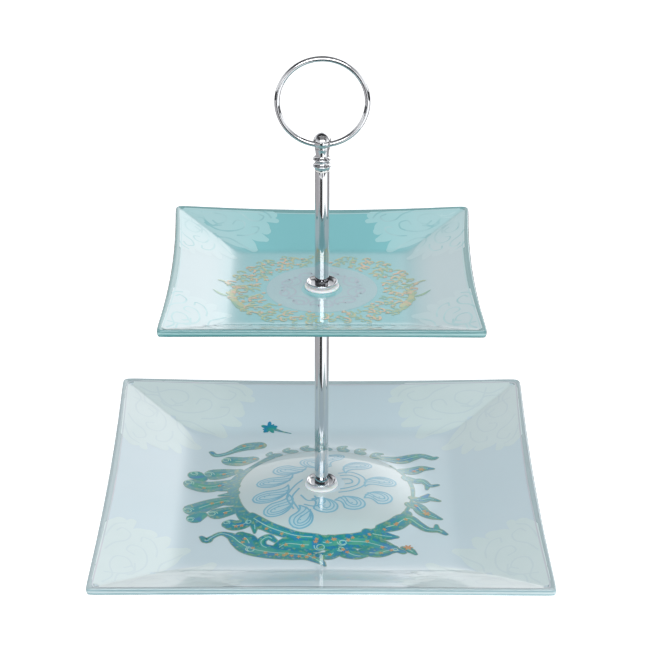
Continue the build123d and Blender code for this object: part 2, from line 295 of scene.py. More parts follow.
def brush(marks, cell=1.1):
    """Centre line, headings and half widths of a brush stroke through (x, y, half width) marks.

    Between two marks runs a Catmull-Rom curve, and each end is closed by a round cap.
    """
    marks = np.asarray(marks, dtype=float)
    padded = np.concatenate([2 * marks[:1] - marks[1:2], marks, 2 * marks[-1:] - marks[-2:-1]])
    curve = [marks[:1]]
    for k in range(len(marks) - 1):
        a, b, c, d = padded[k:k + 4]
        steps = max(3, int(np.hypot(*(c - b)[:2]) / cell) + 1)
        t = np.linspace(0, 1, steps + 1)[1:, None]
        square, cube = 2 * a - 5 * b + 4 * c - d, 3 * b - a - 3 * c + d
        curve.append(0.5 * (2 * b + (c - a) * t + square * t**2 + cube * t**3))
    curve = np.concatenate(curve)
    for end in (0, -1):
        near = curve[1] if end == 0 else curve[-2]
        away = curve[end, :2] - near[:2]
        away = away / np.hypot(*away)
        reach = np.sin(np.array([0.3, 0.62, 0.85, 0.97, 1.0]) * math.pi / 2)[:, None]
        width = max(curve[end, 2], 0.15)
        cap = np.column_stack([curve[end, :2] + away * width * reach, width * np.sqrt(1.0001 - reach**2)])
        curve = np.concatenate([cap[::-1], curve]) if end == 0 else np.concatenate([curve, cap])
    along = np.gradient(curve[:, :2], axis=0)
    angle = np.unwrap(np.arctan2(along[:, 1], along[:, 0]))
    return curve[:, :2], angle, np.maximum(curve[:, 2], 0.05)


def drop_spine(x, y, heading, length, width, bend):
    """A paisley's spine, headings and half widths: a round end that narrows along a hook to a point.

    The round end is a quarter ellipse over the first third, and the tail falls as (1 - u) to the 1.15,
    swollen by a quarter of sin(pi u), with u from 0 to 1 along it.
    """
    steps, widest = 30, 0.34
    points, angle = spine(x, y, heading, length, bend * 0.35, bend, steps, power=2.2)
    s = np.linspace(0, 1, steps)
    bulb = np.sqrt(np.maximum(1 - (1 - s / widest) ** 2, 0))
    u = np.clip((s - widest) / (1 - widest), 0, 1)
    tail = (1 - u) ** 1.15 * (1 + 0.25 * np.sin(math.pi * u))
    return points, angle, width * np.where(s < widest, bulb, tail)


def drop_outline(x, y, heading, length, width, bend):
    """A paisley's outline, out along one side and back along the other, with its headings."""
    points, angle, half = drop_spine(x, y, heading, length, width, bend)
    normal = np.stack([-np.sin(angle), np.cos(angle)], -1)
    path = np.concatenate([points + normal * half[:, None], (points - normal * half[:, None])[-2:0:-1]])
    along = np.roll(path, -1, axis=0) - np.roll(path, 1, axis=0)
    return path, np.arctan2(along[:, 1], along[:, 0])


def lathe(profile, around=96):
    """Points and quads of a closed profile of (radius, height) carried round the rod's axis."""
    profile = np.asarray(profile, dtype=float)
    phi = np.linspace(0, 2 * math.pi, around, endpoint=False)
    radius, height = profile[:, :1], profile[:, 1:]
    points = np.stack([radius * np.cos(phi), radius * np.sin(phi), height + 0 * phi], -1)
    return points.reshape(-1, 3), grid_faces(len(profile), around, wrap_rows=True, wrap_cols=True)


def rounded(points, size, steps=5):
    """A closed outline with each corner replaced by a parabola that starts size back along each side."""
    corner = np.asarray(points, dtype=float)
    before, after = np.roll(corner, 1, axis=0) - corner, np.roll(corner, -1, axis=0) - corner
    long_a, long_b = (np.linalg.norm(v, axis=1, keepdims=True) for v in (before, after))
    size = np.broadcast_to(np.asarray(size, dtype=float), (len(corner),))[:, None]
    size = np.minimum(size, 0.45 * np.minimum(long_a, long_b))
    start, end = corner + before / long_a * size, corner + after / long_b * size
    t = np.linspace(0, 1, steps)[None, :, None]
    curve = (1 - t) ** 2 * start[:, None] + 2 * t * (1 - t) * corner[:, None] + t**2 * end[:, None]
    return curve.reshape(-1, 2)


# Materials ------------------------------------------------------------------------------------

def linear(code):
    """The linear colour, with alpha 1, of an sRGB hex value. A colour that is already linear stays."""
    if not isinstance(code, str):
        return tuple(code)
    channel = np.array([int(code[k:k + 2], 16) for k in (1, 3, 5)]) / 255
    value = np.where(channel <= 0.04045, channel / 12.92, ((channel + 0.055) / 1.055) ** 2.4)
    return (*value.tolist(), 1.0)


def add_node(tree, kind, settings=None, **sockets):
    """Adds a node, sets its properties, and sets or links its inputs by name."""
    node = tree.nodes.new(kind)
    for key, value in (settings or {}).items():
        setattr(node, key, value)
    for key, value in sockets.items():
        socket = node.inputs[int(key[1:])] if key[0] == "_" else node.inputs[key.replace("_", " ")]
        if isinstance(value, bpy.types.NodeSocket):
            tree.links.new(value, socket)
        else:
            socket.default_value = value
    return node


SOFT_STEP = {"interpolation_type": "SMOOTHSTEP"}
COLOUR_MIX = {"data_type": "RGBA"}
TIMES = {"operation": "MULTIPLY"}


def ramp(tree, factor, stops):
    """A colour ramp whose stops are (position, hex colour)."""
    node = add_node(tree, "ShaderNodeValToRGB", Fac=factor)
    elements = node.color_ramp.elements
    while len(elements) < len(stops):
        elements.new(0.5)
    for element, (position, code) in zip(elements, stops):
        element.position, element.color = position, linear(code)
    return node.outputs["Color"]


def surface(name, color, roughness, metallic=0.0, bump=None, **more):
    """A material with one Principled shader. color is a colour, or a function of the node tree."""
    material = bpy.data.materials.new(name)
    material.use_nodes = True
    tree = material.node_tree
    tree.nodes.clear()
    base = color(tree) if callable(color) else linear(color)
    shader = add_node(tree, "ShaderNodeBsdfPrincipled", Base_Color=base, Roughness=roughness,
                      Metallic=metallic, **more)
    if bump:
        tree.links.new(bump(tree), shader.inputs["Normal"])
    add_node(tree, "ShaderNodeOutputMaterial", Surface=shader.outputs[0])
    return material


def noise_at(tree, size_mm, detail=2.0, distortion=0.0):
    """Noise whose lumps are about size_mm across."""
    place = add_node(tree, "ShaderNodeTexCoord").outputs["Object"]
    return add_node(tree, "ShaderNodeTexNoise", Vector=place, Scale=1 / (size_mm * MM * 2), Detail=detail,
                    Distortion=distortion).outputs[0]


def fine_bump(size_mm, height_mm, strength):
    """A bump of noise lumps size_mm across and height_mm deep."""
    def build(tree):
        return add_node(tree, "ShaderNodeBump", Height=noise_at(tree, size_mm), Strength=strength,
                        Distance=height_mm * MM).outputs[0]
    return build


# Fused float glass over ceramic ink: the glass gives one sharp reflection whatever ink is under it.
OVER_GLASS = {"Coat_Weight": 1.0, "Coat_Roughness": 0.02, "Coat_IOR": 1.52, "IOR": 1.5}


def under_glass(name, color):
    """Ceramic ink under glass, as a material: the ink is matt, the glass over it a clear mirror."""
    return surface(name, color, 0.3, **OVER_GLASS)


def ink(name, stops, size_mm):
    """Ink whose colour drifts between the stops over size_mm, as fired ink does where it lies thicker."""
    def drift(tree):
        return ramp(tree, noise_at(tree, size_mm, 3.0, 0.6), stops)
    return under_glass(name, drift)


def glass_edge_painted_light(name, stops, alpha):
    """Ground and polished float glass edge, banded by painted light: green painted dark where the eye looks
    far into it, and a painted highlight at its crown.
    """
    def across(tree):
        band = add_node(tree, "ShaderNodeAttribute", {"attribute_name": "across"})
        return ramp(tree, band.outputs["Fac"], stops)
    return surface(name, across, 0.06, Alpha=alpha, **OVER_GLASS)


# Properties -----------------------------------------------------------------------------------

def size_mm(name, description, default):
    """A length in millimetres."""
    description += ", in millimetres"
    return FloatProperty(name=name, description=description, default=default, precision=2)


def tone(name, description, code):
    """A colour, whose default is given as an sRGB hex value."""
    return FloatVectorProperty(name=name, description=description, size=4, subtype="COLOR", min=0, max=1,
                               default=linear(code))


LOWER_LOW, LOWER_HIGH = node_mm("lower_plate")
UPPER_LOW, UPPER_HIGH = node_mm("upper_plate")


class LowerPlateSizes(bpy.types.PropertyGroup):
    base: size_mm("Base", "Height of the underside", float(LOWER_LOW[2]))
    half: size_mm("Half size", "Rod to the sharp corner along one axis", float(LOWER_HIGH[0]) + 0.13)
    crease: size_mm("Crease", "Rod to the crease of the top surface", 79.0)
    rise: size_mm("Rise", "Height of the rim over the flat glass", 15.7)
    bow: size_mm("Bow", "How far a side bows inwards", 2.0)
    bend: size_mm("Bend", "Inside radius of the bends", 45.0)
    glass: size_mm("Glass", "Thickness of the sheet", 4.0)
    corner: size_mm("Corner", "Softening of the corners in plan", 3.3)
    hole: size_mm("Hole", "Radius of the centre hole", 5.0)
    mitre: size_mm("Mitre", "Softness of the mitred creases near the floor", 1.0)
    dome_height: size_mm("Dome", "Rise of the floor under the rod", 8.5)
    dome_seat: size_mm("Dome seat", "Radius of the level top of the dome", 11.0)
    dome_edge: size_mm("Dome edge", "Radius at which the dome ends", 70.0)
    edge_round: size_mm("Edge round", "Depth of the ground edge", 1.3)
    side_steps: IntProperty(name="Side steps", description="Points along one side", default=84)
    ring_steps: IntProperty(name="Ring steps", description="Rings from hole to rim", default=110)
    edge_steps: IntProperty(name="Edge steps", description="Rings across the ground edge", default=9)


class UpperPlateSizes(bpy.types.PropertyGroup):
    base: size_mm("Base", "Height of the underside", float(UPPER_LOW[2]))
    half: size_mm("Half size", "Rod to the sharp corner along one axis", float(UPPER_HIGH[0]) + 0.3)
    crease: size_mm("Crease", "Rod to the crease of the top surface", 49.0)
    rise: size_mm("Rise", "Height of the rim over the floor", 14.4)
    bow: size_mm("Bow", "How far a side bows inwards", 3.2)
    bend: size_mm("Bend", "Inside radius of the bends", 20.0)
    glass: size_mm("Glass", "Thickness of the sheet", 4.0)
    corner: size_mm("Corner", "Softening of the corners in plan", 3.3)
    hole: size_mm("Hole", "Radius of the centre hole", 5.0)
    mitre: size_mm("Mitre", "Softness of the mitred creases near the floor", 1.0)
    dome_height: size_mm("Dome", "Rise of the floor under the rod", 0.0)
    dome_seat: size_mm("Dome seat", "Radius of the level top of the dome", 11.0)
    dome_edge: size_mm("Dome edge", "Radius at which the dome ends", 40.0)
    edge_round: size_mm("Edge round", "Depth of the ground edge", 1.3)
    side_steps: IntProperty(name="Side steps", description="Points along one side", default=76)
    ring_steps: IntProperty(name="Ring steps", description="Rings from hole to rim", default=90)
    edge_steps: IntProperty(name="Edge steps", description="Rings across the ground edge", default=9)


class StandColours(bpy.types.PropertyGroup):
    lower_ground: tone("Lower ground", "Printed ground of the lower plate", "#c6d8df")
    upper_ground: tone("Upper ground", "Printed ground of the upper plate", "#84c4c9")
    medallion: tone("Medallion", "Medallion of the lower plate", "#c6d3d5")
    paisley: tone("Paisley", "Paisley lines of the lower plate", "#78b0c8")
    pale_scroll: tone("Pale scroll", "Corner scrolls of the upper plate", "#a6d5d8")
    mint_scroll: tone("Mint scroll", "Corner scrolls of the lower plate", "#cfdede")
    chrome: tone("Chrome", "Polished chrome plate", "#dcdde0")
    gasket: tone("Gasket", "Silicone gaskets", "#f2f3f3")


def props():
    """The stand's settings on the current scene."""
    scene = bpy.context.scene
    return scene.stand_lower, scene.stand_upper, scene.stand_colours


# Pieces ---------------------------------------------------------------------------------------

def build_plate(p, name, ground, edge):
    """Makes a plate whose faces take the printed ground, or the edge's glass near the rim.

    The attribute "across" tells how far round the ground edge each point lies: 0 on top, 1 underneath.
    """
    verts, counts, around = plate_shell(p)
    rows = len(verts) // around
    row = np.arange(rows)
    top, rim = counts[0], counts[0] + counts[1]
    clear = 3
    in_rim = (row >= top - clear - 1) & (row <= rim + clear - 1)
    piece = make_piece(name + "_plate_glass", *HOMES[name], verts, grid_faces(rows, around, True, True),
                       [ground, edge], np.repeat(in_rim.astype(int), around), sharp=70)
    mesh = piece.data
    points = np.empty(len(mesh.vertices) * 3, dtype=np.float32)
    mesh.vertices.foreach_get("co", points)
    x, y, z = points.reshape(-1, 3).T / MM
    limit = rim_radius(p, np.arctan2(y, x)) - p.edge_round
    shrink = np.minimum(1, limit / np.maximum(np.hypot(x, y), 1e-6))
    above = plate_height(p, x * shrink, y * shrink)
    under = plate_height(p, x * shrink, y * shrink, under=True)
    across = np.clip((above - z) / np.maximum(above - under, 1e-6), 0, 1)
    layer = mesh.attributes.new("across", "FLOAT", "POINT")
    layer.data.foreach_set("value", across.astype(np.float32))
    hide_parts(name + "_plate")


def sides_painted_paler(near, far):
    """A print with painted light: near over the upper plate's floor, turning to far on its left and right
    walls, less so towards the back, so the walls look lit paler.
    """
    def colour(tree):
        place = add_node(tree, "ShaderNodeTexCoord").outputs["Object"]
        axes = add_node(tree, "ShaderNodeSeparateXYZ", Vector=place).outputs
        out = add_node(tree, "ShaderNodeMath", {"operation": "ABSOLUTE"}, _0=axes["X"]).outputs[0]
        # Painted light: the paler wall colour takes over from 36 to 66 mm out to either side.
        painted_wall_share = add_node(tree, "ShaderNodeMapRange", SOFT_STEP, Value=out, From_Min=36 * MM,
                        From_Max=66 * MM).outputs[0]
        back = add_node(tree, "ShaderNodeMapRange", SOFT_STEP, Value=axes["Y"], From_Min=30 * MM,
                        From_Max=70 * MM, To_Min=1.0, To_Max=0.35).outputs[0]
        share = add_node(tree, "ShaderNodeMath", TIMES, _0=painted_wall_share, _1=back).outputs[0]
        mixed = add_node(tree, "ShaderNodeMix", COLOUR_MIX, _0=share, _6=linear(near), _7=linear(far))
        return mixed.outputs[2]
    return colour


class STAND_OT_lower_plate(bpy.types.Operator):
    """The lower plate: a domed square of printed glass with a clear ground rim"""
    bl_idname = "stand.lower_plate"
    bl_label = "Lower plate"

    def execute(self, context):
        p, _, colours = props()
        stops = [(0.3, colours.lower_ground), (0.7, "#cbdae1")]
        # The edge's bands of light and dark are painted light.
        build_plate(p, "lower", ink("fired pale ground under float glass", stops, 60),
                    glass_edge_painted_light("ground pale float glass edge", LOWER_EDGE, 0.8))
        return {"FINISHED"}


class STAND_OT_upper_plate(bpy.types.Operator):
    """The upper plate: a flat-floored square of teal printed glass with a clear ground rim"""
    bl_idname = "stand.upper_plate"
    bl_label = "Upper plate"

    def execute(self, context):
        _, p, colours = props()
        # The teal ground is painted paler on the left and right walls: painted light.
        colour = sides_painted_paler(colours.upper_ground, "#bcd2d6")
        # The edge's bands of light and dark are painted light.
        build_plate(p, "upper", under_glass("fired teal ground under float glass", colour),
                    glass_edge_painted_light("ground teal float glass edge", UPPER_EDGE, 0.85))
        return {"FINISHED"}


# Ground edges from top to underside, banded by painted light: dark where the glass is seen through its width,
# a painted highlight, light, at the crown.
LOWER_EDGE = [(0.0, "#b6c9cd"), (0.25, "#7da1a8"), (0.45, "#c6d7da"), (0.7, "#8badb3"), (1.0, "#6a959d")]
UPPER_EDGE = [(0.0, "#80b0b2"), (0.22, "#437c80"), (0.45, "#98bfc0"), (0.7, "#508b8d"), (1.0, "#387679")]

# Paisleys of the lower medallion: x, y of the round end, heading of the tail, length and half width.
PAISLEYS = [
    (13, 43, 215, 22, 4.8), (-9, 35, -70, 21, 6.4), (-28, 22, -28, 22, 6.6), (-38, 5, -8, 26, 5.6),
    (-40, -12, -2, 27, 6.0), (-33, -28, 18, 25, 6.2), (-16, -42, 48, 22, 6.6), (3, -30, 90, 18, 7.0),
    (22, -25, 120, 18, 6.8), (40, -14, 146, 17, 6.6), (44, 8, 172, 23, 5.6), (30, 29, 190, 24, 5.4),
]


# The lower medallion: x, y and radius. Its lines beside the hub are marks of x, y and no width.
MEDALLION = (2.0, 1.5, 51.0)
HUB_RADIUS = 11.5
MEDALLION_LINES = [
    [(-16, -26, 0), (-20, -14, 0), (-16, -2, 0), (-11, 6, 0)],
    [(-13, -27, 0), (-17, -15, 0), (-13, -4, 0)],
    [(-12, -12, 0), (-8, -18, 0), (-3, -17, 0), (-4, -13, 0)],
    [(-10, -22, 0), (-4, -24, 0), (2, -20, 0), (1, -15, 0)],
    [(10, 14, 0), (18, 16, 0), (25, 10, 0), (25, 1, 0), (18, -6, 0), (10, -9, 0)],
    [(11, 11, 0), (17, 12, 0), (22, 8, 0), (21, 1, 0), (16, -3, 0), (11, -5, 0)],
    [(12, 7, 0), (17, 7, 0), (18, 3, 0), (14, 1, 0)],
]


def paisley(fill, lines, x, y, heading, length, width):
    """A filled paisley with three outlines, one inside the other, and three dots along its heart."""
    bend = 70
    points, angle, half = drop_spine(x, y, heading, length, width, bend)
    fill.add(*ribbon(points, angle, half, half))
    for share in (1.0, 0.66, 0.34):
        back = (1 - share) * width * 0.95
        turn = math.radians(heading)
        path, angle = drop_outline(x + back * math.cos(turn), y + back * math.sin(turn), heading,
                                   length * (0.45 + 0.55 * share), width * share, bend * share)
        lines.stroke(path, angle, 0.55 if share == 1.0 else 0.42, closed=True)
    for k in range(3):
        turn = math.radians(heading + 8 * k)
        out = 4 + 3 * k
        lines.disc(x + out * math.cos(turn), y + out * math.sin(turn), 0, 0.55, 3, 10)


class STAND_OT_lower_medallion(bpy.types.Operator):
    """The round medallion on the lower plate's dome, with its fan of outlined paisleys"""
    bl_idname = "stand.lower_medallion"
    bl_label = "Lower medallion"

    def execute(self, context):
        p, _, colours = props()
        mx, my, reach = MEDALLION
        ground = Print(p, LIFT)
        ground.disc(mx, my, HUB_RADIUS, reach, rings=36, around=160)
        ground.piece("lower_medallion", ink("fired grey-white medallion under glass",
                                            [(0.3, colours.medallion), (0.7, "#c9d4d4")], 30))
        rim = Print(p, LIFT)
        phi = np.linspace(0, 2 * math.pi, 200, endpoint=False)
        circle = np.stack([mx + reach * np.cos(phi), my + reach * np.sin(phi)], -1)
        rim.stroke(circle, phi + math.pi / 2, 0.35, closed=True)
        rim.piece("lower_medallion_line", ink("fired tan line under glass",
                                              [(0.35, "#a9b3a2"), (0.65, "#c3ad96")], 12))
        fill, lines = Print(p, LIFT + 0.02), Print(p, LIFT + 0.05)
        for shape in PAISLEYS:
            paisley(fill, lines, *shape)
        for marks in MEDALLION_LINES:
            points, angle, _ = brush(marks)
            lines.stroke(points, angle, 0.55)
        fill.piece("lower_paisley_fill", ink("fired pale blue paisley under glass",
                                             [(0.3, "#b3cfd8"), (0.7, "#bcd3d9")], 9))
        lines.piece("lower_paisleys", ink("fired blue paisley line under glass",
                                          [(0.3, colours.paisley), (0.7, "#86bacd")], 9))
        return {"FINISHED"}


# Strokes of the lower wreath, as marks of x, y and half width, leaf by leaf from the upper left.
WREATH_SIDES = [
    [(-38, 64, 4), (-46, 62, 4), (-53, 57, 2), (-58, 53, 1.4), (-64, 51, 1.6), (-67, 55, 1.2)],
    [(-42, 45, 4), (-48, 43, 5.5), (-55, 44, 5)],
    [(-50, 29, 3), (-57, 28, 5.5), (-64, 27, 6)],
    [(-53, 15, 3.5), (-60, 13, 5.5), (-68, 12, 6), (-76, 15, 5.5)],
    [(-71, 22, 3), (-75, 26, 4.6)],
    [(-51, 7, 3), (-56, 6.5, 1.6), (-61, 7, 0.5)],
    [(-51, -1, 3), (-55, 0, 1.8), (-60, 0.5, 0.5)],
    [(-51, -10, 3.5), (-57, -7, 4.5), (-65, -9, 5.5), (-74, -15, 6)],
    [(-69, -21, 3), (-73, -25, 4.6)],
    [(-49, -19, 3), (-54, -19, 4.5), (-60, -20, 5.4)],
    [(-40, -31, 3), (-45, -34, 4), (-50, -34, 4.5), (-53, -32, 4)],
    [(-39, -33, 2.5), (-38, -38, 1.8), (-38, -43, 0.5)],
    [(51, -13, 2.4), (56, -13, 4), (59, -18, 4), (64, -22, 3), (69, -25, 0.8)],
    [(53, -5, 2), (58, -5, 2.8), (63, -2, 2.4), (69, -4, 0.8)],
    [(60, -2, 2), (63, 3, 0.6)],
    [(51, 19, 3.4), (56, 18, 2.8), (60, 19, 2.4), (64, 14, 1.6), (69, 15, 0.8)],
    [(63, 14, 1.6), (62, 9, 0.6)],
    [(48, 29, 3), (54, 31, 4), (60, 35, 3), (67, 35, 0.8)],
    [(38, 46, 3), (47, 45, 4.5), (55, 49, 3.4), (61, 51, 2.2), (67, 48, 2), (70, 49, 0.8)],
]
WREATH_FRONT = [
    [(-41, -28, 3), (-32, -38, 3.5), (-24, -44, 3.5), (-14, -49, 3), (-2, -51, 2.5)],
    [(-26, -52, 1.2), (-30, -48, 2), (-34, -51, 2.6), (-33, -56, 2.6), (-28, -59, 2.4)],
    [(-68, -46, 1.2), (-65, -50, 2.4), (-62, -46, 1.4), (-57, -42, 1.7), (-51, -45, 3), (-46, -52, 5),
     (-40, -58, 6.5), (-30, -62, 6.5), (-18, -64, 6), (-8, -66, 4.5), (-1, -72, 2.4), (2, -77, 0.6)],
    [(-46, -44, 3), (-42, -49, 5), (-40, -56, 5.5)],
    [(-26, -60, 3), (-20, -55, 5), (-12, -56, 6.5), (-4, -57, 6)],
    [(-2, -53, 4), (3, -55, 6), (9, -54, 5)],
    [(-1, -66, 2.4), (4, -66, 4), (9, -61, 4)],
    [(12, -60, 4), (15, -63, 5.5), (20, -66, 3.6), (25, -66, 1.2)],
    [(8, -53, 4), (16, -53, 5.5), (26, -53, 6), (35, -56, 5.5), (40, -58, 3.5)],
    [(24, -62, 3.4), (32, -63, 4.2), (38, -60, 4), (43, -60, 2.2), (46, -62, 1.8)],
    [(26, -45, 3), (36, -46, 3.4), (43, -46, 1)],
    [(34, -40, 3), (42, -35, 4.5), (47, -29, 4.5), (51, -27, 3.6), (56, -32, 2.8), (61, -37, 2.3),
     (67, -38, 2), (71, -42, 1)],
    [(66, -37, 1.8), (66, -32, 0.8)],
    [(46, -57, 1.2), (50, -60, 2.2), (53, -64, 0.8)],
]


def painted_leaf(inks, marks, heart, vein=True):
    """A leaf in the wreath's inks: its body, a narrower heart, a vein along it and a thin outline."""
    body, line, deep, pale = inks
    line.brush([(x, y, half + 0.55) for x, y, half in marks])
    body.brush(marks)
    if heart:
        deep.brush([(x, y, half * heart) for x, y, half in marks[1:]] if len(marks) > 2 else marks)
    points, angle, _ = brush([(x, y, 1) for x, y, _ in marks])
    if len(marks) > 2 and vein:
        pale.stroke(points[8:-8], angle[8:-8], 0.3)
    x, y, half = marks[-1]
    if half > 3:
        turn = math.degrees(math.atan2(marks[-1][1] - marks[-2][1], marks[-1][0] - marks[-2][0]))
        pale.stroke(*spine(x, y, turn - 90, half * 3.6, 200, 300, 24, 1.5), 0.3)


def wreath_band(inks):
    """Leafy arcs along the medallion's edge, and seven small leaves behind it."""
    mx, my, reach = MEDALLION
    for start, end, wide in ((128, 222, 3.6), (222, 334, 3.0), (336, 404, 1.0)):
        marks = []
        for a in np.radians(np.arange(start, end + 1, 8)):
            width = wide * (0.75 + 0.25 * math.sin(7 * a))
            marks.append((mx + (reach + width) * math.cos(a), my + (reach + width) * math.sin(a), width))
        painted_leaf(inks, marks, 0.0, vein=False)
    for k in range(7):
        a = math.radians(56 + 11 * k)
        x, y = mx + (reach + 4) * math.cos(a), my + (reach + 4) * math.sin(a)
        painted_leaf(inks, [(x, y, 3.4), (x + 5 * math.cos(a + 0.5), y + 5 * math.sin(a + 0.5), 2.2),
                            (x + 7 * math.cos(a), y + 7 * math.sin(a), 0.8)], 0.0)


def wreath_flowers(paint):
    """Small flowers where the leaves are broad, along the front arc and stem, and three larger ones."""
    mx, my, reach = MEDALLION
    for k, marks in enumerate(WREATH_FRONT + WREATH_SIDES):
        for x, y, half in marks[:-1]:
            if half > 3.9:
                paint.rosette(x + 1.5 * math.sin(5 * k + x), y - 1.2 * math.cos(3 * k + y), 1.5, 5, k)
    for k in range(9):
        a = math.radians(232 + 11 * k)
        paint.rosette(mx + (reach + 3) * math.cos(a), my + (reach + 3) * math.sin(a), 1.3, 5, k)
    for k in range(6):
        paint.rosette(-25 + 4.2 * k, -65.0 - 0.6 * k, 1.5, 5, k)
    for x, y, radius in ((61.0, -19.5, 2.6), (60.0, 34.0, 2.4), (49.0, -57.0, 3.0)):
        paint.rosette(x, y, radius, 6)


class STAND_OT_lower_wreath(bpy.types.Operator):
    """The lower plate's wreath of scroll leaves, plumes and small flowers around the medallion"""
    bl_idname = "stand.lower_wreath"
    bl_label = "Lower wreath"

    def execute(self, context):
        p, _, _ = props()
        line, body, deep, pale, warm = (Print(p, LIFT + lift) for lift in (0.02, 0.05, 0.08, 0.11, 0.14))
        inks = (body, line, deep, pale)
        wreath_band(inks)
        for marks in WREATH_SIDES:
            painted_leaf(inks, marks, 0.45)
        for marks in WREATH_FRONT:
            painted_leaf(inks, marks, 0.5)
        wreath_flowers(warm)
        for radius, petals in ((5.4, 5), (4.4, 7), (3.4, 5)):
            deep.rosette(-32.5, 84.0, radius, petals, petals)
        body.brush([(-31, 84, 1.6), (-25, 81, 0.7), (-19, 79, 0.4)])
        line.piece("lower_wreath_lines", ink("fired olive outline under glass",
                                             [(0.35, "#6f9f9c"), (0.65, "#8a9f8c")], 10))
        body.piece("lower_wreath_leaves", wreath_ink())
        deep.piece("lower_wreath_inner", ink("fired blue heart under glass",
                                             [(0.38, "#1a7fae"), (0.5, "#1d9394"), (0.62, "#4a9f86")], 5))
        pale.piece("lower_wreath_veins", ink("fired pale vein under glass",
                                             [(0.35, "#8cc4c2"), (0.65, "#a6ccb8")], 6))
        warm.piece("lower_wreath_flowers", ink("fired orange flower under glass",
                                               [(0.3, "#c4895c"), (0.7, "#b39a62")], 5))
        return {"FINISHED"}


def wreath_ink():
    """Leaf ink that drifts from green to blue, muted behind and deep in front, with grey-green flecks."""
    def colour(tree):
        lumps = noise_at(tree, 3.4, 3.0, 1.6)
        muted = ramp(tree, lumps, [(0.34, "#94a68c"), (0.43, "#5f9d9b"), (0.5, "#539899"), (0.58, "#4c90a8"),
                                   (0.7, "#70a494")])
        deep = ramp(tree, lumps, [(0.34, "#5f9672"), (0.42, "#0f8a82"), (0.5, "#077f88"), (0.57, "#0b76b0"),
                                  (0.68, "#1a947e")])
        place = add_node(tree, "ShaderNodeTexCoord").outputs["Object"]
        along = add_node(tree, "ShaderNodeSeparateXYZ", Vector=place).outputs["Y"]
        front = add_node(tree, "ShaderNodeMapRange", Value=along, From_Min=-12 * MM,
                         From_Max=-46 * MM).outputs[0]
        drift = add_node(tree, "ShaderNodeMix", COLOUR_MIX, _0=front, _6=muted, _7=deep).outputs[2]
        spot = add_node(tree, "ShaderNodeTexVoronoi", Vector=place, Scale=1 / (3.2 * MM),
                        Randomness=0.8).outputs["Distance"]
        fleck = add_node(tree, "ShaderNodeMapRange", Value=spot, From_Min=0.15, From_Max=0.36, To_Min=0.55,
                         To_Max=0.0).outputs[0]
        mixed = add_node(tree, "ShaderNodeMix", COLOUR_MIX, _0=fleck, _6=drift, _7=linear("#8fae8c"))
        return mixed.outputs[2]
    return under_glass("fired teal leaf ink under glass", colour)


# Corner clouds and the lines in them, as marks of x, y and half width, in shares of the corner's reach.
# The other half of a corner is the mirror image about its diagonal.
CORNER_CLOUD = [
    [(0.98, 0.86, 0.12), (0.80, 0.84, 0.13), (0.62, 0.80, 0.15), (0.46, 0.74, 0.13), (0.36, 0.66, 0.09)],
    [(0.70, 0.98, 0.07), (0.50, 0.96, 0.10), (0.30, 0.94, 0.10), (0.14, 0.93, 0.08), (0.04, 0.90, 0.05)],
    [(0.46, 0.80, 0.10), (0.30, 0.78, 0.10), (0.16, 0.74, 0.09), (0.10, 0.68, 0.05)],
    [(0.52, 0.64, 0.09), (0.38, 0.56, 0.09), (0.28, 0.50, 0.07), (0.22, 0.42, 0.04)],
    [(0.30, 0.68, 0.06), (0.18, 0.60, 0.06), (0.10, 0.56, 0.03)], [(0.12, 0.86, 0.05), (0.0, 0.82, 0.03)],
]
CORNER_LINES = [
    [(0.92, 0.96, 0), (0.80, 0.90, 0), (0.66, 0.93, 0), (0.54, 0.90, 0), (0.52, 0.82, 0), (0.60, 0.78, 0),
     (0.66, 0.83, 0)],
    [(0.74, 0.80, 0), (0.60, 0.70, 0), (0.46, 0.68, 0), (0.34, 0.72, 0), (0.33, 0.80, 0), (0.41, 0.83, 0),
     (0.45, 0.77, 0)],
    [(0.48, 0.98, 0), (0.36, 0.92, 0), (0.28, 0.84, 0), (0.18, 0.82, 0), (0.13, 0.88, 0), (0.19, 0.92, 0)],
    [(0.40, 0.62, 0), (0.30, 0.62, 0), (0.20, 0.66, 0), (0.18, 0.73, 0), (0.25, 0.74, 0)],
    [(0.62, 0.60, 0), (0.48, 0.58, 0), (0.36, 0.50, 0), (0.28, 0.44, 0)],
    [(0.96, 0.78, 0), (0.84, 0.74, 0), (0.76, 0.66, 0), (0.78, 0.60, 0)],
    [(0.30, 0.99, 0), (0.20, 0.97, 0), (0.10, 0.93, 0), (0.05, 0.86, 0)],
    [(0.90, 0.88, 0), (0.76, 0.86, 0), (0.70, 0.76, 0), (0.56, 0.76, 0)],
]


def corner_scrolls(paint, strokes, inner, reach, even=0.0):
    """Lays a family of strokes in all four corners, mirrored about each diagonal.

    Marks of no width become lines of the even half width, in millimetres.
    """
    span = reach - inner
    for quarter in range(4):
        c, s = math.cos(quarter * math.pi / 2), math.sin(quarter * math.pi / 2)
        for mirrored in (False, True):
            for marks in strokes:
                placed = []
                for u, v, half in marks:
                    x, y = inner + span * (v if mirrored else u), inner + span * (u if mirrored else v)
                    placed.append((x * c - y * s, x * s + y * c, half * span))
                if even:
                    points, angle, _ = brush(placed)
                    paint.stroke(points, angle, even)
                else:
                    paint.brush(placed)


def border_line(p, name, first, second):
    """A thin printed line that follows the outline, where the print meets the clear rim."""
    inset, half = 4.4, 0.35
    paint = Print(p, LIFT + 0.03, border=0)
    phi = np.linspace(0, 2 * math.pi, 480, endpoint=False) + 0.003
    reach = rim_radius(p, phi) - inset
    loop = np.stack([reach * np.cos(phi), reach * np.sin(phi)], -1)
    along = np.roll(loop, -1, axis=0) - np.roll(loop, 1, axis=0)
    paint.stroke(loop, np.arctan2(along[:, 1], along[:, 0]), half, closed=True)
    paint.piece(name + "_border_line", ink("fired line at the clear rim of the " + name + " plate",
                                           [(0.3, first), (0.7, second)], 15))


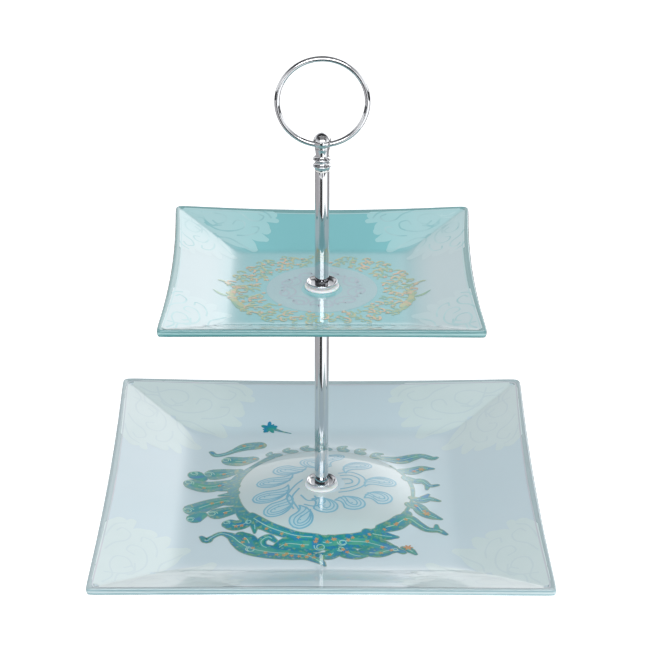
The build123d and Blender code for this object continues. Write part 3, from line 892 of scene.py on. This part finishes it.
def corner_pieces(p, name, inner, reach, cloud_ink, line_ink):
    """A plate's corner scrolls as one piece of filled shapes and one of thin lines over them."""
    cloud, lines = Print(p, LIFT), Print(p, LIFT + 0.03)
    corner_scrolls(cloud, CORNER_CLOUD, inner, reach)
    cloud.piece(name + "_corner_scrolls", cloud_ink)
    corner_scrolls(lines, CORNER_LINES, inner, reach, even=0.5)
    lines.piece(name + "_corner_lines", line_ink)


class STAND_OT_corner_scrolls(bpy.types.Operator):
    """Pale scrolls in the four corners of both plates, and the line along each clear rim"""
    bl_idname = "stand.corner_scrolls"
    bl_label = "Corner scrolls"

    def execute(self, context):
        lower, upper, colours = props()
        mint = ink("fired mint scroll under glass", [(0.3, colours.mint_scroll), (0.7, "#d3e1e1")], 12)
        grey = ink("fired grey-blue scroll line under glass", [(0.3, "#c8d8db"), (0.7, "#cddcde")], 12)
        # The upper scrolls are painted paler on the side walls as well: painted light.
        pale = under_glass("fired pale scroll under glass", sides_painted_paler(colours.pale_scroll, "#c0d6d9"))
        light = ink("fired light scroll line under glass", [(0.3, "#bcdcde"), (0.7, "#8cc2c7")], 9)
        corner_pieces(lower, "lower", 44, 121, mint, grey)
        border_line(lower, "lower", "#cbc9d2", "#b9c6cc")
        border_line(upper, "upper", "#a9cfd3", "#b9d6d8")
        corner_pieces(upper, "upper", 27, 84, pale, light)
        return {"FINISHED"}


# The y of the upper print's middle, and its side sprays as strokes of x, y and half width.
UPPER_Y = -3
GOLD_SPRAYS = [
    [(44, -26, 1.6), (49, -17, 1.7), (50, -8, 1.4), (47, -2, 0.6)],
    [(51, 0, 0.5), (55, 3, 1.0), (58, 2, 0.4)],
]
LEAF_SPRAYS = [
    [(40, -33, 0.8), (46, -27, 1.4), (50, -16, 1.2), (51, -6, 0.5)],
    [(50, -14, 0.4), (56, -15, 1.2), (60, -13, 0.4)],
]


def upper_paisleys(paint):
    """Nine paisleys round the upper medallion, each with a smaller one inside."""
    for k in range(9):
        angle = 40 + 40 * k
        x, y = 24 * math.cos(math.radians(angle)), UPPER_Y + 24 * math.sin(math.radians(angle))
        for share in (1.0, 0.5):
            path, heads = drop_outline(x, y, angle + 196, 13 * share + 2, 4.4 * share, 120)
            paint.stroke(path, heads, 0.5, closed=True)


def scroll_rings(gold, leaf, peach):
    """Five rings of small scrolls round the upper medallion, kept inside an outline with lobes.

    The outline reaches 41 mm, plus 8.5 mm times the absolute cosine of the bearing to the 0.7, plus
    0.35 of the absolute sine of twice the bearing.
    """
    for ring, reach in enumerate((33.5, 37.0, 40.5, 44.0, 47.5)):
        number = int(reach * 1.35)
        for k in range(number):
            a = 2 * math.pi * (k + 0.5 * (ring % 2)) / number
            lobe = abs(math.cos(a)) ** 0.7 + 0.35 * abs(math.sin(2 * a))
            if reach > 41 + 8.5 * lobe:
                continue
            x, y = reach * 1.03 * math.cos(a), UPPER_Y + reach * 0.97 * math.sin(a)
            paint = (gold, leaf, gold, peach, leaf)[(3 * k + 2 * ring) % 5]
            side = 1 if math.cos(a) > 0 else -1
            heading = math.degrees(a) + side * (40 + 50 * math.sin(2.3 * k + ring))
            scroll(paint, x, y, heading, side)
            if (k + ring) % 4 == 0:
                peach.rosette(x + 1.5, y + 1.2, 1.4, 5, k)


class STAND_OT_upper_print(bpy.types.Operator):
    """The upper plate's oval medallion, its faint paisleys and its gold and peach wreath"""
    bl_idname = "stand.upper_print"
    bl_label = "Upper print"

    def execute(self, context):
        _, p, _ = props()
        disc, faint = Print(p, LIFT), Print(p, LIFT + 0.03)
        disc.disc(0, UPPER_Y, HUB_RADIUS, 31.0, rings=14, around=120)
        disc.piece("upper_medallion", ink("fired blue-grey medallion under glass",
                                          [(0.3, "#9ac0c7"), (0.7, "#a0c4c8")], 30))
        upper_paisleys(faint)
        faint.piece("upper_paisleys", ink("fired mauve paisley under glass",
                                          [(0.3, "#a0b8c5"), (0.7, "#a8b9c4")], 9))
        leaf, gold, peach = (Print(p, LIFT + lift) for lift in (0.02, 0.05, 0.08))
        scroll_rings(gold, leaf, peach)
        for side in (1, -1):
            for paint, sprays in ((gold, GOLD_SPRAYS), (leaf, LEAF_SPRAYS)):
                for marks in sprays:
                    paint.brush([(side * x, y, half) for x, y, half in marks])
            peach.rosette(side * 53, 2, 2.0, 5)
            peach.rosette(side * 49, -8, 2.4, 5)
        leaf.piece("upper_wreath_leaves", ink("fired soft green leaf under glass",
                                              [(0.35, "#7db39f"), (0.65, "#a5bd8f")], 4))
        gold.piece("upper_wreath_gold", ink("fired straw gold scroll under glass",
                                            [(0.35, "#9bbd9f"), (0.5, "#bcbf90"), (0.65, "#8bb8a3")], 4))
        peach.piece("upper_wreath_peach", ink("fired peach petal under glass",
                                              [(0.35, "#d8b598"), (0.65, "#bfbc9e")], 4))
        return {"FINISHED"}


# Metal, silicone and fixings --------------------------------------------------------------------

def chrome():
    """Chrome plate over polished brass or steel: a sharp, slightly cool mirror with faint haze."""
    found = bpy.data.materials.get("polished chrome plate")
    return found or surface("polished chrome plate", props()[2].chrome, 0.035, metallic=1.0,
                            bump=fine_bump(6, 0.004, 0.15))


def chromed(node, body, shape, **more):
    """The chromed piece of a CAD node. shape is its points and faces."""
    piece = make_piece(node + "_chrome", body, "chrome", *shape, [chrome()], **more)
    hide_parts(node)


def tube_profile(node):
    """Closed outline of a tube with a thin straight wall and broken edges."""
    low, high = node_mm(node)
    wall = 0.7
    outer, inner = high[0], high[0] - wall
    return rounded([(inner, low[2]), (outer, low[2]), (outer, high[2]), (inner, high[2])], 0.25)


def cup_profile(node, upright):
    """Closed outline of a spun cup: a foot, a flared lip and a thick web. Corners are radius and share."""
    low, high = node_mm(node)
    foot, lip = (low[2], high[2]) if upright else (high[2], low[2])
    corners = ((2.6, 0), (7.6, 0), (8.75, 0.72), (8.72, 1), (8.1, 1), (6.9, 0.34), (4.02, 0.32),
               (4.02, 0.2), (2.6, 0.2))
    return rounded([(radius, foot + (lip - foot) * share) for radius, share in corners],
                   [0.1, 0.9, 0.9, 0.3, 0.3, 0.9, 0.1, 0.05, 0.05], 8)


def finial_profile():
    """Closed outline of the turned finial: bore, foot, two knife-edged collars, flared neck, ball."""
    low, high = node_mm("finial")
    foot, ball_top = low[2], high[2]
    ball, neck = 4.8, 3.95
    meet = math.acos(neck / ball)
    arc = np.linspace(-meet, math.pi / 2 - 0.02, 30)
    lower = np.array([
        (4.0, 0.0), (4.0, 0.5), (4.12, 1.0), (4.45, 1.6), (4.95, 2.1), (5.15, 2.35), (5.15, 2.75),
        (4.9, 3.0), (4.2, 3.35), (3.8, 3.9), (3.7, 4.5), (3.8, 5.2), (4.2, 5.75), (4.9, 6.1),
        (5.15, 6.3), (5.15, 6.7), (4.9, 6.95), (4.2, 7.25), (3.65, 7.7), (3.5, 8.3), (3.62, 9.8),
        (3.8, 11.2), (4.05, 12.2), (4.12, 12.5), (4.1, 12.75),
    ]) + [0, foot]
    dome = np.stack([ball * np.cos(arc), ball_top - ball + ball * np.sin(arc)], -1)
    dome = dome[dome[:, 1] > foot + 12.8]
    bore = np.array([(0.02, ball_top), (0.02, foot + 9.0), (2.5, foot + 9.0), (2.5, foot)])
    return np.concatenate([lower, dome, bore])


def ring_shape():
    """Points and faces of the lifting ring: a torus that stands upright through the finial's ball."""
    low, high = node_mm("ring_handle")
    wire = (high[1] - low[1]) / 2
    reach, centre = (high[0] - low[0]) / 2 - wire, (high[2] + low[2]) / 2
    steps, sides = 240, 40
    around = np.linspace(0, 2 * math.pi, steps, endpoint=False)[:, None]
    across = np.linspace(0, 2 * math.pi, sides, endpoint=False)
    radius = reach + wire * np.cos(across)
    points = np.stack([radius * np.cos(around), wire * np.sin(across) + 0 * around,
                       centre + radius * np.sin(around)], -1)
    return points.reshape(-1, 3), grid_faces(steps, sides, True, True)


class STAND_OT_metalwork(bpy.types.Operator):
    """Tubes, cups, finial and ring, turned or drawn and chromed"""
    bl_idname = "stand.metalwork"
    bl_label = "Metalwork"

    def execute(self, context):
        for node in ("lower_tube", "upper_tube"):
            chromed(node, "column", lathe(tube_profile(node)))
        for node, upright in (("lower_top_cup", True), ("upper_top_cup", True), ("upper_bottom_cup", False)):
            chromed(node, "column", lathe(cup_profile(node, upright)))
        chromed("finial", "handle", lathe(finial_profile(), 128), sharp=50)
        chromed("ring_handle", "handle", ring_shape())
        return {"FINISHED"}


# Gap in millimetres between a gasket and the parts that turn on it.
SLIP = 0.02


def gasket_profile(node):
    """Closed outline of a gasket: a flat washer below a plate, a sleeve with a flange above it."""
    low, high = node_mm(node)
    bore, sleeve, rim = 2.58, 4.95, 9.75
    under, top = low[2] + SLIP, high[2] - SLIP
    if "bottom" in node:
        return rounded([(bore, under), (rim, under), (rim, top), (bore, top)], [0.1, 0.6, 0.6, 0.1], 6)
    flange = high[2] - 1.3
    return rounded([(bore, under), (sleeve, under), (sleeve, flange), (rim, flange), (rim, top), (bore, top)],
                   [0.1, 0.2, 0.1, 0.6, 0.6, 0.1], 6)


class STAND_OT_gaskets(bpy.types.Operator):
    """White silicone rings between metal and glass"""
    bl_idname = "stand.gaskets"
    bl_label = "Gaskets"

    def execute(self, context):
        # Light enters the silicone a little way, so its thin rims look milky, with a soft broad sheen.
        silicone = surface("moulded white silicone", props()[2].gasket, 0.38, IOR=1.41,
                           Subsurface_Weight=0.2, Subsurface_Scale=0.002, bump=fine_bump(0.6, 0.02, 0.2))
        for node, body in (("lower_top_gasket", "base"), ("lower_bottom_gasket", "base"),
                           ("upper_top_gasket", "upper_tier"), ("upper_bottom_gasket", "upper_tier")):
            piece = make_piece(node + "_silicone", body, "gasket", *lathe(gasket_profile(node)), [silicone])
            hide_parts(node)
        return {"FINISHED"}


class STAND_OT_fixings(bpy.types.Operator):
    """Screw, studs, inserts and washers: the parts that the glass and the tubes hide"""
    bl_idname = "stand.fixings"
    bl_label = "Fixings"

    def execute(self, context):
        # Zinc gives a grey, satin mirror, brass a warm one, and nylon the eye of a waxy off-white.
        zinc = surface("bright zinc plate", "#c6c9cf", 0.28, metallic=1.0, bump=fine_bump(0.8, 0.01, 0.3))
        brass = surface("turned brass", "#c9a760", 0.25, metallic=1.0, bump=fine_bump(0.5, 0.01, 0.2))
        nylon = surface("natural nylon", "#ecebe4", 0.45, IOR=1.53, bump=fine_bump(0.5, 0.02, 0.2))
        finishes = {"base_washer": zinc, "base_screw": zinc, "joiner_stud": zinc, "handle_stud": zinc,
                    "handle_washer": nylon}
        for node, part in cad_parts.items():
            finish = brass if "insert" in node else finishes.get(node)
            if finish:
                part.data.materials.clear()
                part.data.materials.append(finish)
        return {"FINISHED"}


# Studio ---------------------------------------------------------------------------------------

# Flags on the floor out of frame, which the chrome reflects: bearings in degrees, near and far edges in
# metres, and their tone. The tubes see the near ones, the ring the far ones.
FLAGS = (
    (-150, -36, 0.13, 0.82, "#c2bfc0"), (-34, 6, 0.13, 0.82, "#1b1a1c"),
    (86, 150, 0.13, 0.82, "#b2afb0"), (150, 210, 0.13, 0.82, "#39383a"), (150, 210, 0.83, 3.0, "#1d1d1f"),
    (-150, -24, 0.83, 3.0, "#343335"), (24, 150, 0.83, 3.0, "#343335"), (-12, 12, 0.83, 3.0, "#6b696b"),
)


def new_object(name, data):
    """A new object in the scene that holds the data."""
    made = bpy.data.objects.new(name, data)
    bpy.context.scene.collection.objects.link(made)
    return made


def sweep():
    """A wide matt floor, which also glows a little so that it stays evenly pale out to its far edge."""
    half, code = 12, "#f6f7f7"
    mesh = bpy.data.meshes.new("floor")
    mesh.from_pydata([(-half, -half, 0), (half, -half, 0), (-half, half, 0), (half, half, 0)], [],
                     [(0, 1, 3, 2)])
    material = surface("matt white sweep", code, 0.9)
    shader = material.node_tree.nodes["Principled BSDF"]
    shader.inputs["Emission Color"].default_value = linear(code)
    shader.inputs["Emission Strength"].default_value = 0.55
    mesh.materials.append(material)
    new_object("floor", mesh)


def floor_flag(name, start, end, near, far, code):
    """A flat wedge on the floor between two bearings from the viewer's side, seen only in reflections."""
    phi = np.radians(np.linspace(start, end, 24) - 90)[None, :]
    radius = np.array([near, far])[:, None]
    points = np.stack([radius * np.cos(phi), radius * np.sin(phi), 0 * radius * phi + 0.001], -1)
    mesh = bpy.data.meshes.new(name)
    mesh.from_pydata(points.reshape(-1, 3).tolist(), [], grid_faces(2, 24).tolist())
    mesh.materials.append(surface("studio " + name, code, 0.9))
    flag = new_object(name, mesh)
    flag.visible_camera = flag.visible_diffuse = flag.visible_shadow = flag.visible_transmission = False


def softbox(name, centre, size, watts):
    """A rectangular lamp, aimed at a point low on the stand."""
    data = bpy.data.lights.new(name, "AREA")
    data.shape = "RECTANGLE"
    data.size, data.size_y = size
    data.energy = watts
    lamp = new_object(name, data)
    lamp.location = centre
    x, y, z = np.array((0, 0, 0.1)) - np.array(centre)
    lamp.rotation_euler = (math.atan2(math.hypot(x, y), -z), 0, math.atan2(y, x) - math.pi / 2)


def studio_air():
    """The world: a pale dome, and for glossy rays alone a darker one with a glow behind the stand.

    The glow grows to the right, and fades out towards the front and overhead. Its bands are what the
    upright chrome shows as soft stripes.
    """
    world = bpy.data.worlds.new("studio air")
    bpy.context.scene.world = world
    world.use_nodes = True
    tree = world.node_tree
    tree.nodes.clear()
    place = add_node(tree, "ShaderNodeTexCoord").outputs["Generated"]
    axes = add_node(tree, "ShaderNodeSeparateXYZ", Vector=place).outputs
    glossy = add_node(tree, "ShaderNodeLightPath").outputs["Is Glossy Ray"]
    dome = ramp(tree, axes["Z"], [(0.0, "#a9abad"), (0.5, "#c4c6c8"), (0.9, "#dcdddf")])
    shine = ramp(tree, axes["Z"], [(0.0, "#ffffff"), (0.3, "#d8d9db"), (0.52, "#5e5e60"), (0.8, "#2e2e30")])
    sky = add_node(tree, "ShaderNodeMix", COLOUR_MIX, _0=glossy, _6=dome, _7=shine).outputs[2]
    air = add_node(tree, "ShaderNodeBackground", Color=sky, Strength=0.95).outputs[0]
    across = add_node(tree, "ShaderNodeMapRange", Value=axes["X"], From_Min=-1.0, From_Max=1.0).outputs[0]
    glow = ramp(tree, across, [(0.3, "#454546"), (0.48, "#6c6c6e"), (0.55, "#a4a5a7"), (0.63, "#e8e9eb"),
                               (0.8, "#ffffff")])
    behind = add_node(tree, "ShaderNodeMapRange", SOFT_STEP, Value=axes["Y"], From_Min=0.3, From_Max=0.8)
    low = add_node(tree, "ShaderNodeMapRange", SOFT_STEP, Value=axes["Z"], From_Min=0.8, From_Max=0.45)
    amount = add_node(tree, "ShaderNodeMath", TIMES, _0=behind.outputs[0], _1=low.outputs[0])
    gain = add_node(tree, "ShaderNodeMath", TIMES, _0=glossy, _1=1.7)
    power = add_node(tree, "ShaderNodeMath", TIMES, _0=amount.outputs[0], _1=gain.outputs[0])
    panel = add_node(tree, "ShaderNodeBackground", Color=glow, Strength=power.outputs[0]).outputs[0]
    both = add_node(tree, "ShaderNodeAddShader", _0=air, _1=panel)
    add_node(tree, "ShaderNodeOutputWorld", Surface=both.outputs[0])


def viewpoint():
    """The camera: in front of the stand and above it, with a long lens."""
    data = bpy.data.cameras.new("camera")
    data.sensor_width = 36.0
    data.lens = 123.73
    data.clip_start = 0.1
    data.clip_end = 100
    camera = new_object("camera", data)
    camera.location = (0, -1.1431, 0.65405)
    yaw, tilt, roll = (Matrix.Rotation(math.radians(angle), 3, axis)
                       for angle, axis in ((-0.09, "Z"), (64.79, "X"), (0.17, "Z")))
    camera.rotation_euler = (yaw @ tilt @ roll).to_euler()
    bpy.context.scene.camera = camera


class STAND_OT_stage(bpy.types.Operator):
    """Pale floor, soft studio light and the camera"""
    bl_idname = "stand.stage"
    bl_label = "Studio"

    def execute(self, context):
        view = context.scene.view_settings
        view.view_transform = "Standard"
        view.look = "None"
        studio_air()
        sweep()
        for k, flag in enumerate(FLAGS):
            floor_flag(f"flag_{k}", *flag)
        softbox("right softbox", (1.5, -0.1, 0.9), (1.2, 1.6), 3)
        softbox("overhead softbox", (0, -0.5, 1.9), (2.0, 1.6), 3)
        softbox("front softbox", (0, -2.2, 1.25), (2.4, 0.9), 36)
        viewpoint()
        return {"FINISHED"}


PIECES = (STAND_OT_lower_plate, STAND_OT_upper_plate, STAND_OT_lower_medallion, STAND_OT_lower_wreath,
          STAND_OT_corner_scrolls, STAND_OT_upper_print, STAND_OT_metalwork, STAND_OT_gaskets,
          STAND_OT_fixings, STAND_OT_stage)


class STAND_PT_panel(bpy.types.Panel):
    """Lists the stand's pieces"""
    bl_idname = "STAND_PT_panel"
    bl_label = "Cake stand"
    bl_space_type = "VIEW_3D"
    bl_region_type = "UI"
    bl_category = "Cake stand"

    def draw(self, context):
        for operator in PIECES:
            self.layout.operator(operator.bl_idname)


CLASSES = (LowerPlateSizes, UpperPlateSizes, StandColours, *PIECES, STAND_PT_panel)


def register():
    """Registers the classes and hangs the settings on the scene."""
    for cls in CLASSES:
        bpy.utils.register_class(cls)
    bpy.types.Scene.stand_lower = PointerProperty(type=LowerPlateSizes)
    bpy.types.Scene.stand_upper = PointerProperty(type=UpperPlateSizes)
    bpy.types.Scene.stand_colours = PointerProperty(type=StandColours)


def unregister():
    """Takes the settings and the classes away again."""
    del bpy.types.Scene.stand_colours, bpy.types.Scene.stand_upper, bpy.types.Scene.stand_lower
    for cls in reversed(CLASSES):
        bpy.utils.unregister_class(cls)


def main():
    """Builds the whole stand."""
    register()
    for operator in PIECES:
        group, name = operator.bl_idname.split(".")
        getattr(getattr(bpy.ops, group), name)()


if __name__ == "__main__":
    main()
